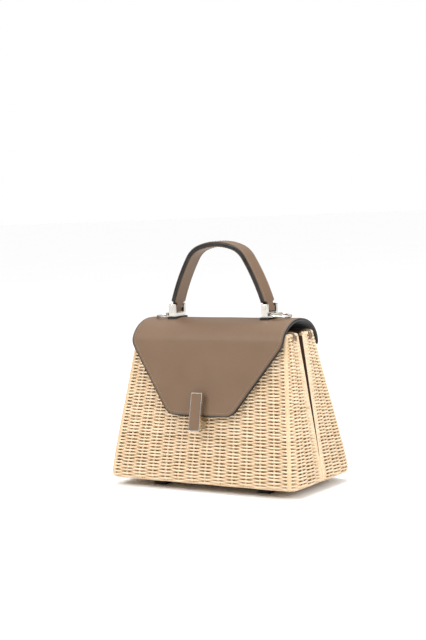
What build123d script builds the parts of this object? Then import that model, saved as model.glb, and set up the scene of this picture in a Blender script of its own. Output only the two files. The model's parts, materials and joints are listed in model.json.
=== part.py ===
from build123d import *
import math
import os

# A basket box bag: two woven half shells that stand together as a tapered box, a leather flap
# with a top handle, a turning closure bar and two D-rings. Millimetres, +Z up, front at -Y.
# The origin is on the ground under the middle of the bag.

# ---- Basket -------------------------------------------------------------------------------
BASKET_W_BOTTOM = 220.0
BASKET_D_BOTTOM = 118.0
BASKET_W_TOP = 180.0
BASKET_D_TOP = 52.0
BASKET_H = 144.0
BASKET_CORNER_R = 10.0      # upright corners, seen from above
BASKET_WALL = 5.0
RIM_R = 4.0                 # outer edge of the rim
BASE_EDGE_R = 8.5           # edge between the walls and the underside
SEAM = 0.4                  # between the two shells, where they stand closed
GAP_TOP = 7.2               # between the two shells at the rim
GAP_START_H = 20.0          # the gap opens from this height
GAP_Y = -5.3                # middle of the gap: the front shell is the shallower one

# ---- Lining, gussets and base board --------------------------------------------------------
LINING_T = 1.2
LINING_DROP = 3.0           # below the rim
FIT = 0.3                   # between soft pieces that lie against each other
GUSSET_T = 1.2
GUSSET_FOLD_TOP = 11.0
GUSSET_FOLD_BOTTOM = 1.5
BOARD_T = 2.0

# ---- Feet ----------------------------------------------------------------------------------
FOOT_SIZE = 14.0
FOOT_H = 7.0
FOOT_X = 60.4
FOOT_Y = 28.0
FOOT_EDGE_R = 1.5
FOOT_SCREW_R = 1.5
FOOT_SCREW_GRIP = 4.5       # length of thread in the foot
SCREW_HEAD_RATIO = 2.2      # head radius over shank radius
SCREW_HEAD_T = 1.4
SMALL_HEAD_T = 1.0
HOLE_CLEARANCE = 0.3        # on the radius, where a shank passes through
THREAD_SLIP = 0.05          # on the radius, where a screw stands in its thread
THREAD_END = 0.2            # past the end of a screw, at the bottom of its hole
PIVOT_SLIP = 0.1            # on the radius, where a pin turns in its hole
SEAT = 0.05                 # between metal faces that are clamped together
PAST = 1.0                  # a cutting form runs this far past the face it opens

# ---- Flap ----------------------------------------------------------------------------------
ARCH_OVERHANG = 8.0         # outside of the arch past the rim, at the front and the back
ARCH_RISE = 25.0
ARCH_TOP_GAP = 12.5         # from the rim up to the outside of the arch
FLAP_SIDE_INSET = 3.4       # side edges of the flap, in from the ends of the rim
FLAP_LEATHER_T = 1.8
FLAP_LINING_T = 1.0
GLUE = 0.06                 # between layers that are glued or clamped flat together
FLAP_DROP = 77.3            # lower edge of the front, below the rim
FLAP_TIP_HALF_W = 36.2
SHOULDER_DROP = 10.3        # where the slanting edges start, below the rim
FLAP_TIP_R = 16.0
FLAP_SHOULDER_R = 14.0
REAR_DROP = 15.4            # lower edge of the leather at the back, below the rim
HINGE_DROP = 4.0            # the fold that the flap turns about, below the rim
HINGE_GAP = 0.3
RIVET_DROP = 10.0
RIVET_X = (-65.0, -22.0, 22.0, 65.0)
RIVET_R = 1.2
RIVET_SPACER_R = 2.2
RIVET_HEAD_R = 3.0
RIVET_HEAD_T = 1.0

# ---- Handle --------------------------------------------------------------------------------
HANDLE_W = 19.5
HANDLE_T = 5.0
HANDLE_CROWN_R = 60.0
HANDLE_BEND_R = 27.0
HANDLE_LEG_R = 200.0
HANDLE_CROWN_END = 20.0     # degrees from upright at which the crown meets the bend
HANDLE_BEND_END = 58.0
HANDLE_LEG_END = 71.9
HANDLE_TAB_L = 10.0
HANDLE_TAB_CLEAR = 0.75     # between a tab and the uprights beside it
HANDLE_NOTCH_R = 1.2
PIN_DOWN = 5.0              # pin below the start of the tab
PIN_UP = 10.6               # pin above the top of the flap
PIN_R = 1.9
PIN_HEAD_R = 2.4
PIN_HEAD_T = 0.4

# ---- Stirrups, pads and ring holders -------------------------------------------------------
UPRIGHT_T = 3.0
STIRRUP_X = 7.0
STIRRUP_BASE_T = 2.4
STIRRUP_RISE = 3.2          # uprights above the pin
UPRIGHT_TOP_R = 1.0
PAD_T = 1.1
PAD_MARGIN_X = 1.9
PAD_MARGIN_Y = 1.0
PAD_CORNER_R = 1.5
HOLDER_T = 1.0
BARREL_R = 2.0
BARREL_BORE_R = 1.25
BARREL_OUT = 7.9            # barrel axis outside the pin
BARREL_L = 17.0
BACKING_T = 1.2
BACKING_MARGIN = 2.0
STIRRUP_SCREW_R = 1.0
STIRRUP_SCREW_Y = 3.6
STIRRUP_SCREW_GRIP = 1.8

# ---- D-rings -------------------------------------------------------------------------------
RING_WIRE_R = 1.0
RING_BAR_MARGIN = 0.4       # straight bar past each end of the barrel
RING_BEND_R = 2.0
RING_ARM = 1.6              # straight part beside the opening
RING_DROOP = 7.0            # degrees below level, where the ring lies on the leather

# ---- Closure -------------------------------------------------------------------------------
BAR_W = 12.6
BAR_L = 37.0
BAR_T = 3.4
BAR_CORNER_R = 1.2
BAR_RIM = 0.9
INLAY_DEPTH = 1.0
BAR_BELOW_PIVOT = 22.7
PIVOT_UP = 7.0              # pivot above the lower edge of the flap
BAR_STANDOFF = 3.6
POST_R = 1.5
POST_COLLAR_R = 3.2
POST_COLLAR_GAP = 0.2
POST_HEAD_R = 2.4
POST_HEAD_T = 0.45
WASHER_R = 5.0
WASHER_T = 0.8
PEEN_R = 2.2
PEEN_T = 0.5
INLAY_CORNER_R = 0.3
PLATE_H = 15.5
PLATE_T = 1.5
KEEPER_W = 8.0
KEEPER_H = 9.0
KEEPER_CORNER_R = 1.0
KEEPER_GAP = 0.5
PLATE_SCREW_R = 1.1
PLATE_SCREW_SPACING = 4.8
PLATE_SCREW_GRIP = 4.0
PLATE_SCREW_HEAD_R = 2.0
BACKPLATE_T = 1.0
BACKPLATE_MARGIN = 2.0      # past the keeper on every side

# ---- Thong ties ----------------------------------------------------------------------------
TIE_W = 2.4
TIE_INSET = {"front": 0.0, "rear": 2.3}     # in from where the rim's corner starts to turn
TIE_GUSSET_GAP = 0.2        # between a front tie and the gusset's flange
TIE_T = 1.2
TIE_LEG = 8.0
TIE_CLEAR = 0.12

# ---- Derived places ------------------------------------------------------------------------
BASE_Z = FOOT_H
RIM_Z = BASE_Z + BASKET_H
LINING_IN = BASKET_WALL + FIT                 # outside of the lining, in from the basket's face
LINING_FACE_IN = LINING_IN + LINING_T
LINING_TOP_Z = RIM_Z - LINING_DROP
FLOOR_Z = BASE_Z + LINING_FACE_IN
BOARD_TOP_Z = FLOOR_Z + BOARD_T
ARCH_TOP_Z = RIM_Z + ARCH_TOP_GAP
ARCH_Z = ARCH_TOP_Z - ARCH_RISE
ARCH_HALF_DEPTH = BASKET_D_TOP / 2 + ARCH_OVERHANG
FLAP_HALF_W = BASKET_W_TOP / 2 - FLAP_SIDE_INSET
FLAP_T = FLAP_LEATHER_T + GLUE + FLAP_LINING_T
TIP_Z = RIM_Z - FLAP_DROP
SHOULDER_Z = RIM_Z - SHOULDER_DROP
REAR_END_Z = RIM_Z - REAR_DROP
HINGE_Z = RIM_Z - HINGE_DROP
RIVET_Z = RIM_Z - RIVET_DROP
WALL_LEAN = math.degrees(math.atan((BASKET_D_BOTTOM - BASKET_D_TOP) / 2 / BASKET_H))
HANDLE_TAB_W = HANDLE_W - 2 * (UPRIGHT_T + HANDLE_TAB_CLEAR)
CORNER_START_Y = BASKET_D_TOP / 2 - BASKET_CORNER_R
TIE_Y = {
    "front": TIE_INSET["front"] + TIE_W / 2 - CORNER_START_Y,
    "rear": CORNER_START_Y - TIE_W / 2 - TIE_INSET["rear"],
}
GUSSET_FLANGE = GAP_Y - GAP_TOP / 2 - TIE_Y["front"] - TIE_W / 2 - TIE_GUSSET_GAP
FAR = 400.0                 # longer than the bag in every direction
SIDES = {"left": -1, "right": 1}
ENDS = {"front": -1, "rear": 1}


def tilt(degrees):
    """Unit vector at this many degrees from upright, as (out, up)."""
    return math.sin(math.radians(degrees)), math.cos(math.radians(degrees))


def width_at(z):
    return BASKET_W_BOTTOM + (BASKET_W_TOP - BASKET_W_BOTTOM) * (z - BASE_Z) / BASKET_H


def depth_at(z):
    return BASKET_D_BOTTOM + (BASKET_D_TOP - BASKET_D_BOTTOM) * (z - BASE_Z) / BASKET_H


def tapered_block(inset, z_low, z_high):
    """The basket's tapered form between two heights, with its walls moved in by inset."""
    corner = max(BASKET_CORNER_R - inset, 1.0)
    sections = [
        Pos(0, 0, z) * RectangleRounded(width_at(z) - 2 * inset, depth_at(z) - 2 * inset, corner)
        for z in (z_low, z_high)
    ]
    return loft(sections)


def prism(points, plane, half_length):
    """A polygon in a plane, drawn out both ways."""
    return extrude(plane * make_face(Polyline(*points, close=True)), half_length, both=True)


def half(solid, end):
    """The part of a solid on one side of the gap between the two shells."""
    side = ENDS[end]
    seam_y, top_y = GAP_Y + side * SEAM / 2, GAP_Y + side * GAP_TOP / 2
    gap_line = [
        (side * FAR, -FAR),
        (seam_y, -FAR),
        (seam_y, BASE_Z + GAP_START_H),
        (top_y, RIM_Z),
        (top_y, FAR),
        (side * FAR, FAR),
    ]
    return solid & prism(gap_line, Plane.YZ, FAR)


def left_copy(solid):
    return mirror(solid, about=Plane.YZ)


def rod(radius, z_low, z_high, x=0.0, y=0.0):
    return Pos(x, y, (z_low + z_high) / 2) * Cylinder(radius, z_high - z_low)


def rod_y(radius, y_low, y_high, x, z):
    turned = Rot(90, 0, 0) * Cylinder(radius, y_high - y_low)
    return Pos(x, (y_low + y_high) / 2, z) * turned


# ---- Basket --------------------------------------------------------------------------------
def basket_shell():
    block = tapered_block(0, BASE_Z, RIM_Z)
    block = fillet(block.faces().sort_by(Axis.Z)[-1].edges(), RIM_R)
    block = fillet(block.faces().sort_by(Axis.Z)[0].edges(), BASE_EDGE_R)
    return block - tapered_block(BASKET_WALL, BASE_Z + BASKET_WALL, RIM_Z + PAST)


def lining_tray():
    outer = tapered_block(LINING_IN, BASE_Z + LINING_IN, LINING_TOP_Z)
    return outer - tapered_block(LINING_FACE_IN, FLOOR_Z, LINING_TOP_Z + PAST)


def right_gusset():
    """A strip with flanges on both linings and a fold that points into the bag."""
    z_low, z_high = BOARD_TOP_Z + FIT, LINING_TOP_Z - FIT
    sections = []
    for z, half_gap, fold in (
        (z_low, SEAM / 2, GUSSET_FOLD_BOTTOM),
        (z_high, GAP_TOP / 2, GUSSET_FOLD_TOP),
    ):
        x = width_at(z) / 2 - LINING_FACE_IN - FIT
        end = half_gap + GUSSET_FLANGE
        face = [(x, -end), (x, -half_gap), (x - fold, 0), (x, half_gap), (x, end)]
        back = [(px - GUSSET_T, py) for px, py in reversed(face)]
        sections.append(Pos(0, GAP_Y, z) * make_face(Polyline(*face, *back, close=True)))
    return loft(sections, ruled=True)


def foot_places():
    return [(sx * FOOT_X, sy * FOOT_Y) for sx in SIDES.values() for sy in ENDS.values()]


def foot_holes():
    radius = FOOT_SCREW_R + HOLE_CLEARANCE
    return [rod(radius, BASE_Z - PAST, BOARD_TOP_Z + PAST, x, y) for x, y in foot_places()]


def foot(x, y):
    block = Pos(x, y, FOOT_H / 2) * Box(FOOT_SIZE, FOOT_SIZE, FOOT_H)
    block = fillet(block.edges().filter_by(Axis.Z), FOOT_EDGE_R)
    block = fillet(block.faces().sort_by(Axis.Z)[0].edges(), FOOT_EDGE_R / 2)
    return block - rod(FOOT_SCREW_R, BASE_Z - FOOT_SCREW_GRIP - THREAD_END, FOOT_H + PAST, x, y)


def foot_screw(x, y):
    shank = rod(FOOT_SCREW_R - THREAD_SLIP, BASE_Z - FOOT_SCREW_GRIP, BOARD_TOP_Z + SEAT, x, y)
    head_r = FOOT_SCREW_R * SCREW_HEAD_RATIO
    seat_z = BOARD_TOP_Z + SEAT
    return shank + rod(head_r, seat_z, seat_z + SCREW_HEAD_T, x, y)


def right_tie():
    """A thong over the rim of a side wall, hugging the wall and the lining."""
    root_z = BASE_Z
    wall = [
        (width_at(root_z) / 2 - LINING_FACE_IN, root_z),
        (width_at(root_z) / 2, root_z),
        (width_at(RIM_Z) / 2, RIM_Z),
        (width_at(RIM_Z) / 2 - LINING_FACE_IN, RIM_Z),
    ]
    profile = make_face(Polyline(*wall, close=True))
    top_corners = profile.vertices().sort_by(Axis.Y)[-2:].sort_by(Axis.X)
    profile = fillet(top_corners[-1], RIM_R)
    band = offset(profile, TIE_CLEAR + TIE_T) - offset(profile, TIE_CLEAR)
    legs = Pos(width_at(RIM_Z) / 2, RIM_Z) * Rectangle(FAR, 2 * TIE_LEG)
    return extrude(Plane.XZ * (band & legs), TIE_W / 2, both=True)


# ---- Flap ----------------------------------------------------------------------------------
def arch_edges(depth):
    """Side view of the flap's surface, this deep in the leather: arch, front, both ends."""
    a, b = ARCH_HALF_DEPTH - depth, ARCH_RISE - depth
    lean = math.tan(math.radians(WALL_LEAN))
    meet = math.atan(lean * b / a)
    start = math.asin((REAR_END_Z - ARCH_Z) / b)
    sweep_size = 180 - math.degrees(meet + start)
    arc = EllipticalCenterArc((0, ARCH_Z), a, b, math.degrees(start), arc_size=sweep_size)
    top_y, top_z = -a * math.cos(meet), ARCH_Z + b * math.sin(meet)
    out, up = tilt(WALL_LEAN)
    tip_y = top_y - lean * (top_z - TIP_Z - depth * out)
    return arc, (top_y, top_z), (tip_y, TIP_Z + depth * out)


def leather_sheet(depth, thickness):
    """A layer of the closed flap at its full width, from its rear end to its lower edge."""
    outer_arc, outer_top, outer_tip = arch_edges(depth)
    inner_arc, inner_top, inner_tip = arch_edges(depth + thickness)
    side = make_face([
        outer_arc,
        Line(outer_arc @ 1, outer_tip),
        Line(outer_tip, inner_tip),
        Line(inner_tip, inner_arc @ 1),
        inner_arc,
        Line(inner_arc @ 0, outer_arc @ 0),
    ])
    sheet = extrude(Plane.YZ * side, FLAP_HALF_W, both=True)
    return sheet & flap_outline()


def flap_outline():
    """The flap seen from the front, drawn out front to back, with the whole arch behind."""
    points = [
        (-FLAP_HALF_W, RIM_Z + FAR / 2),
        (FLAP_HALF_W, RIM_Z + FAR / 2),
        (FLAP_HALF_W, SHOULDER_Z),
        (FLAP_TIP_HALF_W, TIP_Z),
        (-FLAP_TIP_HALF_W, TIP_Z),
        (-FLAP_HALF_W, SHOULDER_Z),
    ]
    face = make_face(Polyline(*points, close=True))
    face = fillet(face.vertices().group_by(Axis.Y)[1], FLAP_SHOULDER_R)
    face = fillet(face.vertices().group_by(Axis.Y)[0], FLAP_TIP_R)
    front = extrude(Plane.XZ * face, FAR)
    rear = Pos(0, FAR / 2, RIM_Z) * Box(2 * FLAP_HALF_W, FAR, FAR)
    return front + rear


def behind_hinge(z_low, z_high):
    return Pos(0, FAR / 2, (z_low + z_high) / 2) * Box(FAR, FAR, z_high - z_low)


def hinge_y():
    """Outside of the leather at the fold."""
    up = (HINGE_Z - ARCH_Z) / ARCH_RISE
    return ARCH_HALF_DEPTH * math.sqrt(1 - up * up)


def inside_arch(depth):
    """The space under the arch, this deep in the leather, as a solid."""
    ellipse = Plane.YZ * Pos(0, ARCH_Z) * Ellipse(ARCH_HALF_DEPTH - depth, ARCH_RISE - depth)
    return extrude(ellipse, FAR / 2, both=True)


# ---- Handle --------------------------------------------------------------------------------
def handle_points(depth):
    """Right half of the handle's curve, this deep in the strap and with its top at zero.

    Gives each arc as its start, middle and end, and then the end of the straight tab.
    """
    centres, radii = [(0.0, -HANDLE_CROWN_R)], [HANDLE_CROWN_R, HANDLE_BEND_R, HANDLE_LEG_R]
    angles = [0.0, HANDLE_CROWN_END, HANDLE_BEND_END, HANDLE_LEG_END]
    for i in (1, 2):
        out, up = tilt(angles[i])
        step = radii[i - 1] - radii[i]
        centres.append((centres[-1][0] + step * out, centres[-1][1] + step * up))
    arcs = []
    for centre, radius, low, high in zip(centres, radii, angles[:-1], angles[1:]):
        arc = []
        for angle in (low, (low + high) / 2, high):
            out, up = tilt(angle)
            arc.append((centre[0] + (radius - depth) * out, centre[1] + (radius - depth) * up))
        arcs.append(arc)
    down, along = tilt(HANDLE_LEG_END)
    x, z = arcs[-1][-1]
    return arcs, (x + along * HANDLE_TAB_L, z - down * HANDLE_TAB_L)


def pin_below_top():
    """Axis of the right handle pin in the middle of the strap: x, and z from the handle's top."""
    arcs, _ = handle_points(HANDLE_T / 2)
    down, along = tilt(HANDLE_LEG_END)
    x, z = arcs[-1][-1]
    return x + along * PIN_DOWN, z - down * PIN_DOWN


PIN_X, PIN_FROM_TOP = pin_below_top()
PIN_Z = ARCH_TOP_Z + PIN_UP
HANDLE_TOP_Z = PIN_Z - PIN_FROM_TOP
TAB_START_Z = PIN_Z + STIRRUP_RISE + FIT


def handle():
    edges = []
    for depth in (0, HANDLE_T):
        arcs, end = handle_points(depth)
        for sx in SIDES.values():
            for arc in arcs:
                edges.append(ThreePointArc(*[(sx * x, z) for x, z in arc]))
            x, z = arcs[-1][-1]
            edges.append(Line((sx * x, z), (sx * end[0], end[1])))
    for sx in SIDES.values():
        outer, inner = handle_points(0)[1], handle_points(HANDLE_T)[1]
        edges.append(Line((sx * outer[0], outer[1]), (sx * inner[0], inner[1])))
    strap = Pos(0, 0, HANDLE_TOP_Z) * extrude(Plane.XZ * make_face(edges), HANDLE_W / 2, both=True)
    notch_h = 2 * HANDLE_TAB_L
    for sx in SIDES.values():
        for sy in ENDS.values():
            notch = Box(FAR / 4, HANDLE_W, notch_h)
            inner_edge = notch.edges().filter_by(Axis.X).sort_by(Axis.Z)[-2:].sort_by(Axis.Y)
            notch = fillet(inner_edge[0], HANDLE_NOTCH_R)
            if sy < 0:
                notch = mirror(notch, about=Plane.XZ)
            y = sy * (HANDLE_TAB_W + HANDLE_W) / 2
            strap -= Pos(sx * FAR / 8, y, TAB_START_Z - notch_h / 2) * notch
    for sx in SIDES.values():
        strap -= rod_y(PIN_R + PIVOT_SLIP, -HANDLE_W, HANDLE_W, sx * PIN_X, PIN_Z)
    return strap


# ---- Right-hand fittings of the handle; the left ones are their mirror image ------------------
PAD_TOP_Z = ARCH_TOP_Z + PAD_T
HOLDER_TOP_Z = PAD_TOP_Z + HOLDER_T
BASE_TOP_Z = HOLDER_TOP_Z + STIRRUP_BASE_T
BARREL_X = PIN_X + BARREL_OUT
BARREL_Z = PAD_TOP_Z + BARREL_R
INNER_TOP_Z = ARCH_TOP_Z - FLAP_T
BACKING_LOW_Z = INNER_TOP_Z - BACKING_T
STIRRUP_SCREW_TOP_Z = HOLDER_TOP_Z + STIRRUP_SCREW_GRIP


def stirrup_screw_holes():
    radius = STIRRUP_SCREW_R + HOLE_CLEARANCE
    ys = (-STIRRUP_SCREW_Y, STIRRUP_SCREW_Y)
    return [rod(radius, RIM_Z, HOLDER_TOP_Z, sx * PIN_X, y) for sx in SIDES.values() for y in ys]


def right_stirrup():
    top_z = PIN_Z + STIRRUP_RISE
    h = top_z - HOLDER_TOP_Z
    body = Pos(PIN_X, 0, HOLDER_TOP_Z + h / 2) * Box(STIRRUP_X, HANDLE_W, h)
    body = fillet(body.edges().filter_by(Axis.Y).group_by(Axis.Z)[-1], UPRIGHT_TOP_R)
    gap_w = HANDLE_W - 2 * UPRIGHT_T
    gap = Pos(PIN_X, 0, BASE_TOP_Z + h) * Box(2 * STIRRUP_X, gap_w, 2 * h)
    body -= gap
    body -= rod_y(PIN_R + PIVOT_SLIP, -HANDLE_W, HANDLE_W, PIN_X, PIN_Z)
    hole_top_z = STIRRUP_SCREW_TOP_Z + THREAD_END
    for y in (-STIRRUP_SCREW_Y, STIRRUP_SCREW_Y):
        body -= rod(STIRRUP_SCREW_R, HOLDER_TOP_Z - PAST, hole_top_z, PIN_X, y)
    return body


def right_pin():
    front = -HANDLE_W / 2 - PIVOT_SLIP
    shank = rod_y(PIN_R, front, HANDLE_W / 2, PIN_X, PIN_Z)
    return shank + rod_y(PIN_HEAD_R, front - PIN_HEAD_T, front, PIN_X, PIN_Z)


def right_pad():
    low_z = ARCH_Z + ARCH_RISE / 2
    w, d = STIRRUP_X + 2 * PAD_MARGIN_X, HANDLE_W + 2 * PAD_MARGIN_Y
    pad = Pos(PIN_X, 0, (low_z + PAD_TOP_Z) / 2) * Box(w, d, PAD_TOP_Z - low_z)
    pad = fillet(pad.edges().filter_by(Axis.Z), PAD_CORNER_R)
    return pad - inside_arch(-GLUE)


def right_ring_holder():
    inner_x = PIN_X - STIRRUP_X / 2
    plate = Pos((inner_x + BARREL_X) / 2, 0, PAD_TOP_Z + HOLDER_T / 2) * Box(
        BARREL_X - inner_x, BARREL_L, HOLDER_T
    )
    barrel = rod_y(BARREL_R, -BARREL_L / 2, BARREL_L / 2, BARREL_X, BARREL_Z)
    return plate + barrel - rod_y(BARREL_BORE_R, -BARREL_L, BARREL_L, BARREL_X, BARREL_Z)


def right_backing():
    """A metal plate under the flap, flat below and following the arch above."""
    w, d = STIRRUP_X + 2 * BACKING_MARGIN, HANDLE_W + 2 * PAD_MARGIN_Y
    h = INNER_TOP_Z - backing_under_z()
    plate = Pos(PIN_X, 0, backing_under_z() + h / 2) * Box(w, d, h)
    return plate & inside_arch(FLAP_T + GLUE)


def backing_under_z():
    d = HANDLE_W + 2 * PAD_MARGIN_Y
    return BACKING_LOW_Z - ARCH_RISE * (1 - math.sqrt(1 - (d / 2 / ARCH_HALF_DEPTH) ** 2))


def stirrup_screw(x, y):
    top = backing_under_z() - SEAT
    head = rod(STIRRUP_SCREW_R * SCREW_HEAD_RATIO, top - SMALL_HEAD_T, top, x, y)
    return head + rod(STIRRUP_SCREW_R - THREAD_SLIP, top, STIRRUP_SCREW_TOP_Z, x, y)


def right_ring():
    """A closed D of round wire, made flat with its bar on the axis and laid at its droop."""
    bar_half = BARREL_L / 2 + RING_BAR_MARGIN
    half = bar_half + RING_BEND_R
    arm = RING_BEND_R + RING_ARM
    corner = RING_BEND_R * (1 - math.sqrt(0.5))
    path = Wire([
        Line((0, -bar_half), (0, bar_half)).edge(),
        ThreePointArc((0, bar_half), (corner, half - corner), (RING_BEND_R, half)).edge(),
        Line((RING_BEND_R, half), (arm, half)).edge(),
        ThreePointArc((arm, half), (arm + half, 0), (arm, -half)).edge(),
        Line((arm, -half), (RING_BEND_R, -half)).edge(),
        ThreePointArc((RING_BEND_R, -half), (corner, corner - half), (0, -bar_half)).edge(),
    ])
    section = Plane.XZ * Circle(RING_WIRE_R)
    ring = sweep(section, path=path)
    return Pos(BARREL_X, 0, BARREL_Z) * Rot(0, RING_DROOP, 0) * ring


# ---- Closure -------------------------------------------------------------------------------
def flap_face():
    """Plane on the outside of the flap at the pivot: X to the right, Y up the flap, Z out."""
    out, up = tilt(WALL_LEAN)
    _, _, (tip_y, tip_z) = arch_edges(0)
    origin = (0, tip_y + PIVOT_UP * out, tip_z + PIVOT_UP * up)
    return Plane(origin=origin, x_dir=(1, 0, 0), z_dir=(0, -up, out))


def plate_face():
    """Plane on the outside of the front wall, at the lower end of the closed bar."""
    out, up = tilt(WALL_LEAN)
    bar_end_z = flap_face().origin.Z - BAR_BELOW_PIVOT * up + BAR_STANDOFF * out
    origin = (0, -depth_at(bar_end_z) / 2, bar_end_z)
    return Plane(origin=origin, x_dir=(1, 0, 0), z_dir=(0, -up, out))


def keeper_height():
    """From the plate up to the back of the bar, less the running gap."""
    place = flap_face()
    back = place.origin + place.z_dir * BAR_STANDOFF
    return (back - plate_face().origin).dot(place.z_dir) - PLATE_T - KEEPER_GAP


def on(plane, shape):
    return plane.location * shape


def post_hole():
    return on(flap_face(), rod(POST_R + HOLE_CLEARANCE, -FLAP_T - WASHER_T - PAST, PAST))


def closure_post():
    """A turned post: peened end, shank, collar under the bar, and a head inside the bar."""
    washer_low = -FLAP_T - SEAT - WASHER_T
    seat = BAR_STANDOFF + BAR_T - INLAY_DEPTH + SEAT
    solid = rod(PEEN_R, washer_low - SEAT - PEEN_T, washer_low - SEAT)
    solid += rod(POST_R, washer_low - SEAT, seat)
    solid += rod(POST_COLLAR_R, SEAT, BAR_STANDOFF - POST_COLLAR_GAP)
    solid += rod(POST_HEAD_R, seat, seat + POST_HEAD_T)
    return on(flap_face(), solid)


def closure_washer():
    ring = rod(WASHER_R, -FLAP_T - SEAT - WASHER_T, -FLAP_T - SEAT)
    return on(flap_face(), ring - rod(POST_R + PIVOT_SLIP, -FLAP_T - WASHER_T - PAST, 0))


def bar_slab(margin, low, high):
    y = BAR_L / 2 - BAR_BELOW_PIVOT
    corner = max(BAR_CORNER_R - margin, INLAY_CORNER_R)
    outline = Pos(0, y, low) * RectangleRounded(BAR_W - 2 * margin, BAR_L - 2 * margin, corner)
    return extrude(outline, high - low)


def closure_bar():
    top = BAR_STANDOFF + BAR_T
    body = bar_slab(0, BAR_STANDOFF, top) - bar_slab(BAR_RIM, top - INLAY_DEPTH, top + PAST)
    return on(flap_face(), body - rod(POST_R + PIVOT_SLIP, 0, top))


def closure_inlay():
    low = BAR_STANDOFF + BAR_T - INLAY_DEPTH + GLUE
    inlay = bar_slab(BAR_RIM + GLUE, low, low + INLAY_DEPTH - GLUE)
    pocket = rod(POST_HEAD_R + PIVOT_SLIP, low - PAST, low + POST_HEAD_T + PIVOT_SLIP)
    return on(flap_face(), inlay - pocket)


def plate_screw_places():
    middle = KEEPER_H / 2
    return (middle - PLATE_SCREW_SPACING / 2, middle + PLATE_SCREW_SPACING / 2)


def closure_plate():
    plate = extrude(Pos(0, PLATE_H / 2) * RectangleRounded(BAR_W, PLATE_H, BAR_CORNER_R), PLATE_T)
    keeper = extrude(RectangleRounded(KEEPER_W, KEEPER_H, KEEPER_CORNER_R), keeper_height())
    solid = plate + Pos(0, KEEPER_H / 2, PLATE_T) * keeper
    for y in plate_screw_places():
        solid -= rod(PLATE_SCREW_R, -PAST, PLATE_SCREW_GRIP + THREAD_END, y=y)
    return on(plate_face(), Pos(0, 0, GLUE) * solid)


def lining_face():
    """Height of the lining's inner face above the wall's outer face, along plate_face."""
    return -LINING_FACE_IN * math.cos(math.radians(WALL_LEAN))


def plate_screw_holes():
    low = lining_face() - BACKPLATE_T - PAST
    return [
        on(plate_face(), rod(PLATE_SCREW_R + HOLE_CLEARANCE, low, 0, y=y))
        for y in plate_screw_places()
    ]


def closure_backplate():
    w, h = KEEPER_W + 2 * BACKPLATE_MARGIN, KEEPER_H + 2 * BACKPLATE_MARGIN
    z = lining_face() - GLUE - BACKPLATE_T / 2
    return on(plate_face(), Pos(0, KEEPER_H / 2, z) * Box(w, h, BACKPLATE_T))


def closure_screws():
    top = lining_face() - GLUE - BACKPLATE_T - SEAT
    screws = []
    for y in plate_screw_places():
        screw = rod(PLATE_SCREW_R - THREAD_SLIP, top, PLATE_SCREW_GRIP, y=y)
        screw += rod(PLATE_SCREW_HEAD_R, top - SMALL_HEAD_T, top, y=y)
        screws.append(on(plate_face(), screw))
    return screws


# ---- Rear rivets ---------------------------------------------------------------------------
def rivet_holes():
    return [rod_y(RIVET_R + HOLE_CLEARANCE, 0, FAR / 4, x, RIVET_Z) for x in RIVET_X]


def rear_rivet(x):
    """Head seated on the curved leather, a spacer before the wicker, a cap inside the lining."""
    seat_y = ARCH_HALF_DEPTH * math.sqrt(1 - ((RIVET_Z - ARCH_Z) / ARCH_RISE) ** 2)
    wall_y = depth_at(RIVET_Z - RIVET_SPACER_R) / 2 + GLUE
    cap_y = depth_at(RIVET_Z + RIVET_HEAD_R) / 2 - LINING_FACE_IN - GLUE
    head = rod_y(RIVET_HEAD_R, wall_y, seat_y + RIVET_HEAD_T, x, RIVET_Z) - inside_arch(-GLUE)
    spacer = rod_y(RIVET_SPACER_R, wall_y, seat_y, x, RIVET_Z) & inside_arch(FLAP_T + GLUE)
    shank = rod_y(RIVET_R, cap_y, seat_y + RIVET_HEAD_T / 2, x, RIVET_Z)
    return shank + head + spacer + rod_y(RIVET_HEAD_R, cap_y - RIVET_HEAD_T, cap_y, x, RIVET_Z)


# ---- Assembly ------------------------------------------------------------------------------
def cut(solid, tools):
    return solid - list(tools)


def build_basket():
    holes = [*foot_holes(), *plate_screw_holes(), *rivet_holes()]
    shell = cut(basket_shell(), holes)
    lining = cut(lining_tray(), holes)
    board = tapered_block(LINING_FACE_IN + FIT, FLOOR_Z, BOARD_TOP_Z)
    gusset = right_gusset()
    nodes = {
        "front_shell": half(shell, "front"),
        "rear_shell": half(shell, "rear"),
        "front_lining": half(lining, "front"),
        "rear_lining": half(lining, "rear"),
        "left_gusset": left_copy(gusset),
        "right_gusset": gusset,
        "base_board": cut(board, foot_holes()),
        "foot_screws": Compound([foot_screw(x, y) for x, y in foot_places()]),
        "closure_plate": closure_plate(),
        "closure_backplate": cut(closure_backplate(), plate_screw_holes()),
        "closure_screws": Compound(closure_screws()),
        "rear_rivets": Compound([rear_rivet(x) for x in RIVET_X]),
    }
    tie = right_tie()
    for end, sy in ENDS.items():
        for side, sx in SIDES.items():
            nodes[f"foot_{end}_{side}"] = foot(sx * FOOT_X, sy * FOOT_Y)
            nodes[f"{end}_{side}_tie"] = Pos(0, TIE_Y[end], 0) * (tie if sx > 0 else left_copy(tie))
    return nodes


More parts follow.
